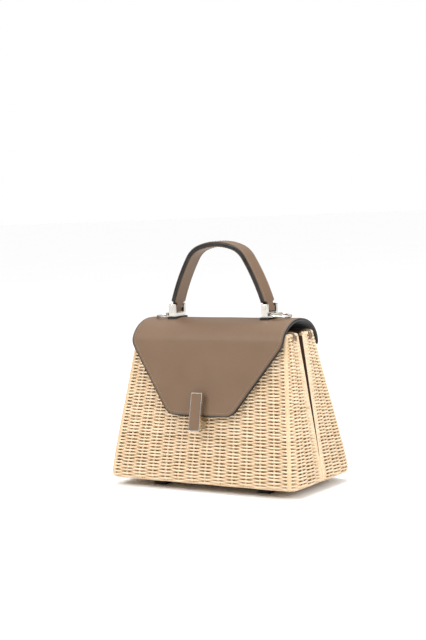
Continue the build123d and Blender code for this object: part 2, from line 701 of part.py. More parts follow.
def build_flap():
    leather = leather_sheet(0, FLAP_LEATHER_T)
    lining = leather_sheet(FLAP_LEATHER_T + GLUE, FLAP_LINING_T)
    strip = leather_sheet(0, FLAP_T)
    below = behind_hinge(BASE_Z, HINGE_Z + HINGE_GAP / 2)
    above = behind_hinge(HINGE_Z - HINGE_GAP / 2, RIM_Z + FAR)
    front = Pos(0, -FAR / 2, RIM_Z) * Box(FAR, FAR, FAR)
    nodes = {
        "flap_leather": cut(leather, [below, *stirrup_screw_holes(), post_hole()]),
        "flap_lining": cut(lining, [below, *stirrup_screw_holes(), post_hole()]),
        "rear_strip": cut(strip, [above, front, *rivet_holes()]),
        "handle_strap": handle(),
        "closure_post": closure_post(),
        "closure_washer": closure_washer(),
        "closure_bar": closure_bar(),
        "closure_inlay": closure_inlay(),
    }
    fittings = {
        "stirrup": right_stirrup(),
        "handle_pin": right_pin(),
        "pad": cut(right_pad(), stirrup_screw_holes()),
        "ring_holder": cut(right_ring_holder(), stirrup_screw_holes()),
        "backing_plate": cut(right_backing(), stirrup_screw_holes()),
        "ring": right_ring(),
    }
    for name, solid in fittings.items():
        nodes[f"right_{name}"] = solid
        nodes[f"left_{name}"] = left_copy(solid)
    nodes["stirrup_screws"] = Compound([
        stirrup_screw(sx * PIN_X, sy * STIRRUP_SCREW_Y)
        for sx in SIDES.values()
        for sy in ENDS.values()
    ])
    return nodes


os.makedirs("parts", exist_ok=True)
for name, solid in {**build_basket(), **build_flap()}.items():
    export_step(solid, f"parts/{name}.step")
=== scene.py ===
import json
import math

import bmesh
import bpy
import numpy as np
from mathutils import Matrix, Vector


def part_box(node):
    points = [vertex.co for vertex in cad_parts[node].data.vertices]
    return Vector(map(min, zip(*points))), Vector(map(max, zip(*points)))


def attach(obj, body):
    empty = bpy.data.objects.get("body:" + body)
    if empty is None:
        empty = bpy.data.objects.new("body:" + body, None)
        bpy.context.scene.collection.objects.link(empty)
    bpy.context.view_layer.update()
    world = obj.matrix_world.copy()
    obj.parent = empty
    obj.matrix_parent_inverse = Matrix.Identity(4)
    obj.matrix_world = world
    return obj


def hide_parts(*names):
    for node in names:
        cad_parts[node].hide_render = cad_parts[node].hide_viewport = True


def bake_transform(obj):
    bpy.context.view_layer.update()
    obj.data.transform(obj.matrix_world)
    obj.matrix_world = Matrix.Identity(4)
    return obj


# The looks of a basket box bag. Shapes are worked out in millimetres and turned into metres when
# a mesh is made. +Z is up, the front is at -Y, and the origin is on the ground under the bag.

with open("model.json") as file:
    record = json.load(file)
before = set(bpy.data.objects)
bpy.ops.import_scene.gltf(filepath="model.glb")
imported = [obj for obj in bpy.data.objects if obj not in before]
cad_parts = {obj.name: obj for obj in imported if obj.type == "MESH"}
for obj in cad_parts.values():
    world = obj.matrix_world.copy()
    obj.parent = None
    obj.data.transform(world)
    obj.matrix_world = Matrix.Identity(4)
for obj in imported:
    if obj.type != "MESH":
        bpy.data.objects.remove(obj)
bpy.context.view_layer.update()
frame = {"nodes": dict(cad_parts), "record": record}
BEHAVIOUR = frame["record"]["behaviour"]
BODY_OF = {node: body for body, nodes in BEHAVIOUR["bodies"].items() for node in nodes}
MM = 0.001
rng = np.random.default_rng(11)


def box_mm(node):
    """Lowest and highest corner of a CAD node, in millimetres."""
    low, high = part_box(node)
    return np.array(low) / MM, np.array(high) / MM


# ---- Sizes, the same as the CAD model's ----
BASE_Z = box_mm("rear_shell")[0][2]
RIM_Z = box_mm("rear_shell")[1][2]
BASKET_H = RIM_Z - BASE_Z
HALF_W_BOTTOM, HALF_W_TOP = 110.0, 90.0
HALF_D_BOTTOM, HALF_D_TOP = 59.0, 26.0
CORNER_R = 10.0
LOW_CORNER_R, LOW_CORNER_H = 5.0, 34.0     # how much rounder the corners are below this height
BASE_EDGE_R = 8.5
GAP_Y, GAP_START_H, HALF_SEAM, HALF_GAP_TOP = -5.3, 20.0, 0.2, 3.6
LINING_IN, LINING_T = 5.3, 1.2
LINING_TOP_H = box_mm("rear_lining")[1][2] - BASE_Z
LEAN = math.atan((HALF_D_BOTTOM - HALF_D_TOP) / BASKET_H)
ARCH_A, ARCH_B = 34.0, 25.0
ARCH_TOP_Z = RIM_Z + 12.5
ARCH_Z = ARCH_TOP_Z - ARCH_B
FLAP_HALF_W = box_mm("flap_leather")[1][0]
FLAP_TIP_HALF_W, FLAP_TIP_R, FLAP_SHOULDER_R = 36.2, 16.0, 14.0
TIP_Z = box_mm("flap_leather")[0][2]
SHOULDER_Z = RIM_Z - 10.3
REAR_END_Z = box_mm("rear_strip")[0][2]
LEATHER_T, GLUE, FLAP_LINING_T = 1.8, 0.06, 1.0
HANDLE_W, HANDLE_T = 19.5, 5.0
HANDLE_ARCS = ((60.0, 20.0), (27.0, 58.0), (200.0, 71.9))     # radius, end angle from upright
HANDLE_TAB_L, HANDLE_TAB_HALF_W = 10.0, 6.0
HANDLE_SAMPLES = 60         # points on each arc
HANDLE_TOP_Z = box_mm("handle_strap")[1][2]
TAB_START_Z = box_mm("right_stirrup")[1][2] + 0.3
NARROWING_H = 1.5           # height over which the strap narrows to its tab
SKIN_HALF_T = 0.42

# ---- Sizes of the weave and the sewing ----
ROW_PITCH = 1.58
CANE_HALF_H, CANE_HALF_T = 0.95, 0.78
STAKE_HALF_T, STAKE_HALF_W = 1.1, 1.2
WEAVE_IN = 2.45             # middle of the weave, in from the basket's face
WEAVE_DEPTH = 1.5           # how far a row swings out and in from that middle
FIRST_ROW_H, LAST_ROW_H = 3.4, 139.6
EDGE_CANE_TOP_H = LAST_ROW_H + 1.5
END_GAP = 1.35              # from a shell's edge to the start of its rows
FRONT_STAKES = 13           # bays on a long wall
CORNER_STAKE_SHIFT = (3.9, 2.3)     # how far corner stakes stand onto the long walls, low and high
END_WRAP = ((-0.55, 0.1), (-0.1, -0.75), (1.6, -0.95))      # how a row turns back at the gap
STAKE_LOW_H = (2.6, 4.0, 6.0)       # where a stake follows the rounded base edge
PER_STAKE = 8               # points of a row in each bay
BAND_FADE = 3.0             # width over which the plain band at a gap turns into weave
RIM_H = BASKET_H - 2.6
RIM_IN, RIM_STRAND_R, RIM_TWIST = 2.6, 1.45, 9.0
EDGE_CANES = {              # front and rear: place from the gap's edge, inset, radius and tone
    -1: ((1.0, 1.1, 0.9, 0.78), (1.4, 3.4, 1.2, 0.6)),
    1: ((1.7, 1.7, 1.55, 0.76), (1.6, 3.6, 1.2, 0.6)),
}
BORDER_CANES = ((63.0, 1.35, 0.68), (86.0, 1.5, 0.58))      # degrees below the wall, radius, tone
BOTTOM_PITCH, BOTTOM_H = 2.4, 2.0
CROSS_HALF_W, CROSS_SHARE = 2.3, 0.62       # an X of thongs, and the share of its length it takes
THONG_DIVE = 0.95           # how far a thong's outer end goes into the weave
FACING_LOW_H, FACING_FULL_H, FACING_T = 27.0, 42.0, 0.45
STITCH_PITCH, STITCH_L, STITCH_R = 2.9, 2.1, 0.24
FLAP_SEAM_IN, HANDLE_SEAM_IN = 2.9, 3.0
ALONG, ACROSS, UP = np.eye(3)       # +X, +Y and +Z


# ---- Mesh building ----
def put(name, data):
    """A new object in the scene."""
    thing = bpy.data.objects.new(name, data)
    bpy.context.scene.collection.objects.link(thing)
    return thing


def set_tone(mesh, tones):
    """Gives each point of a mesh the tone that its material reads."""
    mesh.attributes.new("tone", "FLOAT", "POINT").data.foreach_set("value", tones.astype(np.float32))


class Pile:
    """Points and faces gathered for one mesh."""

    def __init__(self):
        self.points, self.tones, self.faces, self.count = [], [], [], 0

    def add(self, points, faces, tones):
        """Takes in points, faces that number them from 0, and a tone for each point or for all."""
        points = np.asarray(points, float).reshape(-1, 3)
        self.faces.extend([tuple(int(i) + self.count for i in face) for face in faces])
        self.points.append(points)
        self.tones.append(np.broadcast_to(np.asarray(tones, float), (len(points),)))
        self.count += len(points)

    def sweep(self, line, normal, across, half_t, half_w, tone=1.0, sides=6, square=1.0, closed=False):
        """A solid bar along a line: half_t thick along the normal and half_w along across."""
        line = np.asarray(line, float)
        n = len(line)
        turn = 2 * np.pi * (np.arange(sides) + 0.5) / sides
        c, s = ((np.sign(v) * np.abs(v) ** square)[None, :, None] for v in (np.cos(turn), np.sin(turn)))
        half_t, half_w = (np.broadcast_to(v, (n,))[:, None, None] for v in (half_t, half_w))
        normal, across = (np.broadcast_to(v, (n, 3))[:, None, :] for v in (normal, across))
        rings = line[:, None, :] + c * half_t * normal + s * half_w * across
        along = line[1] - line[0]
        flip = np.dot(np.cross(normal[0, 0], across[0, 0]), along) < 0
        faces = []
        for i in range(n if closed else n - 1):
            a, b = i * sides, ((i + 1) % n) * sides
            for k in range(sides):
                k2 = (k + 1) % sides
                face = (a + k, a + k2, b + k2, b + k)
                faces.append(face[::-1] if flip else face)
        if not closed:
            first, last = tuple(range(sides)), tuple(range((n - 1) * sides, n * sides))
            faces.append(first if flip else first[::-1])
            faces.append(last[::-1] if flip else last)
        self.add(rings, faces, np.repeat(np.broadcast_to(tone, (n,)), sides))

    def slab(self, top, bottom, tone=1.0):
        """A solid sheet between two grids of the same size."""
        rows, columns = top.shape[:2]
        size = rows * columns
        top_points, bottom_points = top.reshape(-1, 3), bottom.reshape(-1, 3)
        r, c = np.meshgrid(np.arange(rows - 1), np.arange(columns - 1), indexing="ij")
        a = (r * columns + c).ravel()
        quads = np.stack([a, a + 1, a + columns + 1, a + columns], 1)
        middle = (rows // 2) * columns + columns // 2
        up = top_points[middle] - bottom_points[middle]
        side = np.cross(
            top_points[middle + 1] - top_points[middle], top_points[middle + columns] - top_points[middle]
        )
        flip = np.dot(up, side) < 0
        rim = (
            [(0, j) for j in range(columns - 1)]
            + [(i, columns - 1) for i in range(rows - 1)]
            + [(rows - 1, j) for j in range(columns - 1, 0, -1)]
            + [(i, 0) for i in range(rows - 1, 0, -1)]
        )
        rim = [i * columns + j for i, j in rim]
        walls = [(p, p + size, q + size, q) for p, q in zip(rim, rim[1:] + rim[:1])]
        faces = list(map(tuple, quads)) + [tuple(q[::-1]) for q in quads + size] + walls
        if flip:
            faces = [face[::-1] for face in faces]
        tone = np.broadcast_to(np.asarray(tone, float), (size,))
        self.add(np.concatenate([top_points, bottom_points]), faces, np.concatenate([tone, tone]))

    def build(self, name, material, body, slot, replaces=(), crease=60):
        """Makes the visible piece, and attaches it to its body when one is given."""
        mesh = bpy.data.meshes.new(name)
        points = np.concatenate(self.points) * MM
        mesh.from_pydata(points.tolist(), [], self.faces)
        mesh.validate()
        set_tone(mesh, np.concatenate(self.tones))
        mesh.shade_smooth()
        mesh.set_sharp_from_angle(angle=math.radians(crease))
        mesh.materials.append(material)
        piece = put(name, mesh)
        if body:
            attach(piece, body)
        if replaces:
            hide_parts(*replaces)
        return piece


def unit(v):
    """Vectors of length one."""
    v = np.asarray(v, float)
    return v / np.linalg.norm(v, axis=-1, keepdims=True)


def lengths_along(line):
    """How far along a line each of its points is."""
    return np.concatenate([[0], np.cumsum(np.linalg.norm(np.diff(line, axis=0), axis=1))])


def resample(points, count):
    """The same line as evenly spaced points."""
    points = np.array(points)
    lengths = lengths_along(points)
    t = np.linspace(0, lengths[-1], count)
    return np.stack([np.interp(t, lengths, column) for column in points.T], 1)


def smoothstep(low, high, x):
    """A smooth rise from 0 to 1."""
    t = np.clip((x - low) / (high - low), 0, 1)
    return t * t * (3 - 2 * t)


def stitch(pile, a, b, up, radius):
    """One short stitch that dips into the leather at both ends."""
    a, b, up = (np.asarray(p, float) for p in (a, b, up))
    t = np.array([0.0, 0.12, 0.35, 0.65, 0.88, 1.0])
    lift = np.array([-1.6, -0.35, 0.25, 0.25, -0.35, -1.6]) * radius
    line = a + (b - a) * t[:, None] + up * lift[:, None]
    across = unit(np.cross(b - a, up))
    width = radius * np.array([0.5, 0.95, 1.0, 1.0, 0.95, 0.5])
    pile.sweep(line, up, across, width, width)


# ---- Materials ----
def set_stops(ramp, stops):
    """Gives a colour ramp its positions and colours."""
    while len(ramp.elements) < len(stops):
        ramp.elements.new(0.5)
    for element, (position, colour) in zip(ramp.elements, stops):
        element.position = position
        element.color = (*colour, 1)


class Paint:
    """A node material: a Principled shader with procedural colour, roughness and bump."""

    def __init__(self, name, **values):
        self.material = bpy.data.materials.new(name)
        self.material.use_nodes = True
        self.tree = self.material.node_tree
        self.shader = self.tree.nodes["Principled BSDF"]
        for socket, value in values.items():
            self.shader.inputs[socket.replace("_", " ")].default_value = value
        self.place = self.node("ShaderNodeTexCoord").outputs["Object"]
        self.bumps = None

    def node(self, kind, **values):
        node = self.tree.nodes.new(kind)
        for key, value in values.items():
            if key in node.inputs:
                node.inputs[key].default_value = value
            else:
                setattr(node, key, value)
        return node

    def link(self, a, b):
        self.tree.links.new(a, b)

    def feed(self, socket, source):
        """Puts a number, a colour or another node's output into a socket."""
        if isinstance(source, float):
            socket.default_value = source
        elif isinstance(source, tuple):
            socket.default_value = (*source, 1)
        else:
            self.link(source, socket)

    def texture(self, kind, output, place=None, **values):
        """An output of a procedural texture."""
        node = self.node(f"ShaderNodeTex{kind}", **values)
        self.link(place or self.place, node.inputs["Vector"])
        return node.outputs[output]

    def noise(self, scale, detail=3.0):
        return self.texture("Noise", "Fac", Scale=scale, Detail=detail)

    def streaks(self, stretch, detail):
        """Noise that is drawn out by a scale for each axis."""
        mapping = self.node("ShaderNodeMapping", Scale=stretch)
        self.link(self.place, mapping.inputs["Vector"])
        return self.texture("Noise", "Fac", mapping.outputs["Vector"], Scale=1.0, Detail=detail)

    def cells(self, scale):
        return self.texture("Voronoi", "Distance", Scale=scale)

    def waves(self, scale, direction, distortion):
        return self.texture("Wave", "Fac", bands_direction=direction, Scale=scale, Distortion=distortion)

    def attribute(self, name):
        return self.node("ShaderNodeAttribute", attribute_name=name).outputs["Fac"]

    def maths(self, operation, a, b):
        node = self.node("ShaderNodeMath", operation=operation)
        self.feed(node.inputs[0], a)
        self.feed(node.inputs[1], b)
        return node.outputs[0]

    def total(self, a, share_a, b, share_b):
        """The sum of a share of a and a share of b."""
        return self.maths("ADD", self.maths("MULTIPLY", a, share_a), self.maths("MULTIPLY", b, share_b))

    def ramp(self, value, stops):
        node = self.node("ShaderNodeValToRGB")
        set_stops(node.color_ramp, stops)
        self.link(value, node.inputs["Fac"])
        return node.outputs["Color"]

    def mix(self, value, a, b):
        node = self.node("ShaderNodeMix", data_type="RGBA")
        for number, source in ((0, value), (6, a), (7, b)):
            self.feed(node.inputs[number], source)
        return node.outputs[2]

    def spread(self, value, low, high, socket):
        """Sets a socket of the shader between low and high."""
        node = self.node("ShaderNodeMapRange")
        node.inputs["To Min"].default_value = low
        node.inputs["To Max"].default_value = high
        self.link(value, node.inputs["Value"])
        self.link(node.outputs["Result"], self.shader.inputs[socket])

    def colour(self, output):
        self.link(output, self.shader.inputs["Base Color"])

    def bump(self, height, distance, strength=1.0):
        node = self.node("ShaderNodeBump", Strength=strength, Distance=distance * MM)
        self.link(height, node.inputs["Height"])
        if self.bumps:
            self.link(self.bumps, node.inputs["Normal"])
        self.bumps = node.outputs["Normal"]
        self.link(self.bumps, self.shader.inputs["Normal"])


def wicker_paint():
    """Pale cane, streaked along its length and darker where the tone is low."""
    p = Paint("wicker", Roughness=0.55, Specular_IOR_Level=0.35)
    streaks = p.streaks((90.0, 90.0, 2600.0), 3.0)
    blotches = p.noise(70.0)
    tone = p.maths("ADD", p.attribute("tone"), p.maths("MULTIPLY", p.maths("SUBTRACT", streaks, 0.5), 0.22))
    tone = p.maths("ADD", tone, p.maths("MULTIPLY", p.maths("SUBTRACT", blotches, 0.5), 0.30))
    p.colour(p.ramp(tone, [
        (0.0, (0.13, 0.065, 0.022)),
        (0.28, (0.40, 0.25, 0.115)),
        (0.55, (0.635, 0.452, 0.268)),
        (0.80, (0.745, 0.567, 0.382)),
        (1.0, (0.815, 0.655, 0.475)),
    ]))
    p.spread(streaks, 0.42, 0.66, "Roughness")
    p.bump(streaks, 0.12, 0.5)
    return p.material


def leather_paint(name, dark, light, roughness=0.5, grain=0.05):
    """Grained calf leather, a little darker and more worn where the tone is low."""
    p = Paint(name, Roughness=roughness, Specular_IOR_Level=0.32)
    pebbles = p.cells(1350.0)
    patches = p.noise(26.0, 4.0)
    fine = p.noise(2400.0, 2.0)
    shade = p.total(patches, 0.5, pebbles, 0.22)
    colour = p.ramp(shade, [(0.2, dark), (0.55, light)])
    worn = tuple(0.55 * c for c in dark)
    p.colour(p.mix(p.attribute("tone"), worn, colour))
    p.spread(patches, roughness - 0.07, roughness + 0.09, "Roughness")
    p.bump(pebbles, grain, 0.55)
    p.bump(fine, grain * 0.5, 0.4)
    return p.material


def edge_paint():
    """Glossy dark paint on the cut edges of the leather."""
    p = Paint("edge_paint", Roughness=0.3, Specular_IOR_Level=0.4, Coat_Weight=0.05, Coat_Roughness=0.2)
    wear = p.noise(160.0, 4.0)
    p.colour(p.ramp(wear, [(0.35, (0.006, 0.005, 0.0045)), (0.75, (0.016, 0.014, 0.012))]))
    p.spread(wear, 0.26, 0.44, "Roughness")
    p.bump(p.noise(900.0, 2.0), 0.04, 0.5)
    return p.material


def cloth_paint(name, dark, light, thread=0.55):
    """Fine woven cloth: threads this many millimetres apart."""
    p = Paint(name, Roughness=0.85, Specular_IOR_Level=0.2, Sheen_Weight=0.25, Sheen_Roughness=0.6)
    scale = 2 * math.pi / (20 * thread * MM)
    weave = p.maths("MULTIPLY", p.waves(scale, "X", 0.4), p.waves(scale, "Z", 0.4))
    cloud = p.noise(60.0, 4.0)
    shade = p.total(weave, 0.4, cloud, 0.6)
    p.colour(p.ramp(shade, [(0.2, dark), (0.75, light)]))
    p.spread(cloud, 0.78, 0.95, "Roughness")
    p.bump(weave, 0.12, 0.6)
    return p.material


def metal_paint(name, dark, light):
    """Finely brushed metal with faint cloudy spots."""
    p = Paint(name, Roughness=0.16, Metallic=1.0)
    brushed = p.streaks((2600.0, 260.0, 260.0), 4.0)
    spots = p.noise(110.0, 5.0)
    p.colour(p.ramp(spots, [(0.3, dark), (0.7, light)]))
    p.spread(p.total(brushed, 0.5, spots, 0.5), 0.08, 0.26, "Roughness")
    p.bump(brushed, 0.006, 0.4)
    return p.material


def thread_paint():
    """Twisted sewing thread."""
    p = Paint("thread", Roughness=0.7, Specular_IOR_Level=0.25, Sheen_Weight=0.2)
    twist = p.waves(900.0, "DIAGONAL", 0.5)
    p.colour(p.ramp(twist, [(0.1, (0.18, 0.12, 0.075)), (0.9, (0.34, 0.245, 0.17))]))
    p.bump(twist, 0.05, 0.5)
    return p.material


WICKER = wicker_paint()
TAUPE = leather_paint("taupe_leather", (0.145, 0.087, 0.050), (0.180, 0.111, 0.066), 0.5)
BLACK_LEATHER = leather_paint("black_leather", (0.012, 0.010, 0.009), (0.028, 0.024, 0.021), 0.42, 0.06)
BROWN_LEATHER = leather_paint("brown_leather", (0.050, 0.026, 0.016), (0.095, 0.052, 0.032), 0.52, 0.07)
THONG = leather_paint("thong_leather", (0.12, 0.078, 0.048), (0.25, 0.175, 0.12), 0.6, 0.06)
EDGE = edge_paint()
LINING = cloth_paint("lining_cloth", (0.030, 0.018, 0.012), (0.085, 0.058, 0.042))
SUEDE = cloth_paint("flap_lining_suede", (0.014, 0.012, 0.011), (0.055, 0.048, 0.043), thread=0.35)
NICKEL = metal_paint("nickel", (0.66, 0.62, 0.56), (0.80, 0.765, 0.71))
# A copy of the nickel with a warm gold tint: painted reflection of the pale cane in the closure plate.
NICKEL_WITH_PAINTED_REFLECTION = metal_paint("nickel_painted_reflection", (0.64, 0.52, 0.36), (0.80, 0.68, 0.50))
THREAD = thread_paint()


# ---- Basket form ----
def half_width(h):
    """Half of the basket's width at a height over its base."""
    return HALF_W_BOTTOM + (HALF_W_TOP - HALF_W_BOTTOM) * h / BASKET_H


def half_depth(h):
    """Half of the basket's depth at a height over its base."""
    return HALF_D_BOTTOM + (HALF_D_TOP - HALF_D_BOTTOM) * h / BASKET_H


def half_gap(h):
    """Half of the gap between the two shells at a height over their base."""
    return np.interp(h, [GAP_START_H, BASKET_H], [HALF_SEAM, HALF_GAP_TOP])


def base_inset(h):
    """How far the rounded base edge is in from the wall at a height."""
    below = np.clip(BASE_EDGE_R - h, 0, BASE_EDGE_R)
    return BASE_EDGE_R - math.sqrt(BASE_EDGE_R ** 2 - below ** 2)


class HalfPath:
    """The outline of one shell, seen from above, from its right gap edge round to its left one."""

    def __init__(self, sy, h, inset, gap_extra=0.0):
        self.sy = sy
        self.a, self.b = half_width(h) - inset, half_depth(h) - inset
        self.r = max(CORNER_R + LOW_CORNER_R * max(1 - h / LOW_CORNER_H, 0.0) ** 1.5 - inset, 1.0)
        self.start = sy * GAP_Y + half_gap(h) + gap_extra
        self.side = max(self.b - self.r - self.start, 0.0)
        self.arc = math.pi / 2 * self.r
        self.front = 2 * (self.a - self.r)
        self.corner = self.side + self.arc / 2 + np.interp(h, [0, BASKET_H], CORNER_STAKE_SHIFT)
        self.length = 2 * (self.side + self.arc) + self.front

    def at(self, t):
        """Points and outward normals this far along."""
        t = np.asarray(t, float)
        right = np.minimum(t, self.length - t)
        mirror = np.where(t > self.length / 2, -1.0, 1.0)
        turn = np.clip((right - self.side) / self.r, 0, math.pi / 2)
        x = self.a - self.r + self.r * np.cos(turn)
        y = self.b - self.r + self.r * np.sin(turn)
        y = np.where(right < self.side, self.start + right, y)
        x = np.where(right > self.side + self.arc, x - (right - self.side - self.arc), x)
        points = np.stack([mirror * x, self.sy * y], -1)
        normals = np.stack([mirror * np.cos(turn), self.sy * np.sin(turn)], -1)
        return points, normals

    def stake(self, s, side_count):
        """How far along a place is, counted in stakes."""
        counts = [0, side_count, side_count + FRONT_STAKES, 2 * side_count + FRONT_STAKES]
        return np.interp(s, counts, [0, self.corner, self.length - self.corner, self.length])


def with_z(points, z):
    """Points on a plan, given a height; the height can be one for all."""
    z = np.broadcast_to(np.asarray(z, float)[..., None], points.shape[:-1] + (1,))
    return np.concatenate([points, z], -1)


def wrapped_ends(path, line):
    """Points and normals that turn a row back round the edge of the gap, at its start and its end."""
    ends = []
    for index, place, step in ((0, 0.0, 1.0), (-1, path.length, -1.0)):
        (base, inward), outs = path.at([place, place + step])
        away, out = unit(inward - base), outs[0]
        points = np.array([base + away * a + out * b * WEAVE_DEPTH for a, b in END_WRAP])
        points = with_z(points, line[index, 2])
        ends.append((points if index else points[::-1], np.tile((*out, 0.0), (len(END_WRAP), 1))))
    return ends


def weave_row(pile, sy, row, s, side_count, band_widths):
    """One thin cane that passes before one stake and behind the next."""
    h = FIRST_ROW_H + row * ROW_PITCH
    path = HalfPath(sy, h, WEAVE_IN + base_inset(h), gap_extra=END_GAP)
    t = path.stake(s, side_count)
    from_edge = np.minimum(t, path.length - t)
    band = np.interp(h, [0, BASKET_H], band_widths)
    plain = 1 - smoothstep(band, band + BAND_FADE, from_edge)
    loose = 1 + 0.10 * rng.standard_normal() * np.cos(s * rng.uniform(0.2, 0.5) + rng.uniform(0, 6))
    ripple = np.cos(np.pi * s)
    ripple = (1 if row % 2 else -1) * np.sign(ripple) * np.abs(ripple) ** 0.8
    depth = (1 - plain) * WEAVE_DEPTH * ripple * loose + plain * 0.85 * WEAVE_DEPTH
    wander = 0.13 * np.sin(s * rng.uniform(0.35, 0.9) + rng.uniform(0, 6))
    wander += 0.07 * np.sin(s * rng.uniform(1.4, 2.6) + rng.uniform(0, 6))
    line, normal = path.at(t)
    line = with_z(line + normal * depth[:, None], BASE_Z + h + wander)
    (start, start_out), (end, end_out) = wrapped_ends(path, line)
    line = np.concatenate([start, line, end])
    normal = np.concatenate([start_out, with_z(normal, 0.0), end_out])
    thick = 1 + 0.07 * rng.standard_normal()
    depth = np.pad(depth, len(END_WRAP), constant_values=0.5)
    shade = 0.70 + 0.05 * rng.standard_normal()
    # Painted shade: a cane is coloured darker the deeper it dips behind a stake, a further step darker
    # where it dips deepest, and lighter where it stands out.
    tone = shade + 0.12 * np.clip(depth / WEAVE_DEPTH, -1, 1) - 0.10 * (depth < -0.6 * WEAVE_DEPTH)
    pile.sweep(line, normal, UP, CANE_HALF_T * thick, CANE_HALF_H * thick, tone=tone)


def up_the_wall(sy, heights, inset, place_on, gap_extra=0.0):
    """A line up a wall, with its outward normals; place_on says where it is on each outline."""
    line, normal = [], []
    for h in heights:
        path = HalfPath(sy, h, inset + base_inset(h), gap_extra)
        point, out = path.at(place_on(path))
        line.append((*point, BASE_Z + h))
        normal.append((*out, 0.0))
    return np.array(line), np.array(normal)


def weave_stake(pile, sy, number, side_count):
    """One of the upright stakes that the rows pass round."""
    heights = (*STAKE_LOW_H, *np.linspace(BASE_EDGE_R, LAST_ROW_H + 0.6, 12))
    line, normal = up_the_wall(sy, heights, WEAVE_IN, lambda path: path.stake(number, side_count), END_GAP)
    across = unit(np.cross(UP, normal))
    pile.sweep(line, normal, across, STAKE_HALF_T, STAKE_HALF_W, tone=0.64, sides=8)


def weave(name, sy, side_count, band_widths, node):
    """The woven walls of one shell, with a plain band at the gap that is this wide, low and high."""
    pile = Pile()
    stakes = 2 * side_count + FRONT_STAKES
    s = np.linspace(0, stakes, stakes * PER_STAKE + 1)
    rows = int((LAST_ROW_H - FIRST_ROW_H) / ROW_PITCH) + 1
    for row in range(rows):
        weave_row(pile, sy, row, s, side_count, band_widths)
    for number in range(1, stakes):
        weave_stake(pile, sy, number, side_count)
    pile.build(name, WICKER, "basket", "wicker", replaces=(node,), crease=80)


weave("front_weave", -1, 3, (2.2, 2.6), "front_shell")
weave("rear_weave", 1, 4, (4.0, 6.5), "rear_shell")


def upright(pile, sy, side, place, inset, radius, h_low, tone, flat=1.0, at_corner=False):
    """An upright cane on a wall's lean, placed from the edge of the gap or from the corner."""
    heights = np.linspace(BASE_EDGE_R, EDGE_CANE_TOP_H, 26)
    heights = np.union1d(np.linspace(h_low, BASE_EDGE_R, 5), heights)

    def place_on(path):
        t = path.corner + place if at_corner else place
        return t if side > 0 else path.length - t

    line, normal = up_the_wall(sy, heights, inset, place_on)
    wobble = 0.12 * np.sin(heights * 0.11 + rng.uniform(0, 6))
    line = line + normal * wobble[:, None]
    across = unit(np.cross(np.gradient(line, axis=0), normal))
    tone = tone + 0.03 * np.sin(heights * 0.4)
    pile.sweep(line, normal, across, radius * flat, radius, tone=tone, sides=12)


def tube(pile, line, normal, radius, tone, sides=10):
    """A round cane along a line."""
    along = np.gradient(line, axis=0)
    across = unit(np.cross(along, normal))
    pile.sweep(line, unit(np.cross(across, along)), across, radius, radius, tone=tone, sides=sides)


def rim_strand(pile, sy, strand):
    """One of the two strands that are twisted together along the rim."""
    path = HalfPath(sy, RIM_H, RIM_IN, gap_extra=1.4)
    t = np.linspace(0, 1, 330) * path.length
    line, normal = path.at(t)
    phase = 2 * np.pi * t / RIM_TWIST + strand * np.pi
    line = with_z(line + normal * np.cos(phase)[:, None], BASE_Z + RIM_H + 0.95 * np.sin(phase))
    tube(pile, line, with_z(normal, 0.0), RIM_STRAND_R, 0.74, sides=8)


def border_cane(pile, sy, angle, radius, tone):
    """One of the canes along the rounded edge of the base."""
    reach, turn = BASE_EDGE_R - radius, math.radians(angle)
    inset = BASE_EDGE_R - reach * math.cos(turn)
    h = BASE_EDGE_R - reach * math.sin(turn)
    path = HalfPath(sy, BASE_EDGE_R, inset, gap_extra=1.2)
    u = np.linspace(0, 1, 170)
    line, normal = path.at(u * path.length)
    drift = 0.12 * np.sin(u * 40 + h)
    tube(pile, with_z(line, BASE_Z + h + drift), with_z(normal, 0.0), radius, tone)


def trim(name, sy):
    """The corner canes, the gap edges, the twisted rim and the border round the base."""
    pile = Pile()
    for side in (1, -1):
        upright(pile, sy, side, 0.0, 1.6, 2.2, 2.6, 0.57, flat=0.8, at_corner=True)
        for place, inset, radius, tone in EDGE_CANES[sy]:
            upright(pile, sy, side, place, inset, radius, 3.0, tone)
    for strand in range(2):
        rim_strand(pile, sy, strand)
    for angle, radius, tone in BORDER_CANES:
        border_cane(pile, sy, angle, radius, tone)
    pile.build(name, WICKER, "basket", "wicker", crease=80)


trim("front_trim", -1)
trim("rear_trim", 1)


def underside(name, sy):
    """The woven floor, with its rows along the bag."""
    pile = Pile()
    reach_x = half_width(0) - BASE_EDGE_R + 0.5
    y_low = sy * GAP_Y + HALF_SEAM + 1.0
    y_high = half_depth(0) - BASE_EDGE_R + 1.0
    s = np.linspace(0, FRONT_STAKES, FRONT_STAKES * 6 + 1)
    x = np.linspace(-reach_x, reach_x, len(s))
    for row, y in enumerate(np.arange(y_low, y_high, BOTTOM_PITCH)):
        swing = (1 if row % 2 else -1) * np.cos(np.pi * s)
        wander = 0.12 * np.sin(s * rng.uniform(0.4, 1.0) + rng.uniform(0, 6))
        line = np.stack([x, sy * (y + wander), BASE_Z + BOTTOM_H + 0.95 * swing], 1)
        # Painted shade: a floor cane is coloured darker where it swings up into the bag, away from the
        # underside.
        tone = 0.62 + 0.05 * rng.standard_normal() - 0.12 * swing
        pile.sweep(line, -UP, ACROSS, 0.8, 1.3, tone=tone)
    for number in range(1, FRONT_STAKES):
        x_stake = -reach_x + 2 * reach_x * number / FRONT_STAKES
        line = [(x_stake, sy * y, BASE_Z + BOTTOM_H) for y in np.linspace(y_low, y_high, 8)]
        pile.sweep(line, -UP, ALONG, 0.9, 1.2, tone=0.5, sides=8)
    pile.build(name, WICKER, "basket", "wicker", crease=80)


underside("front_underside", -1)
underside("rear_underside", 1)


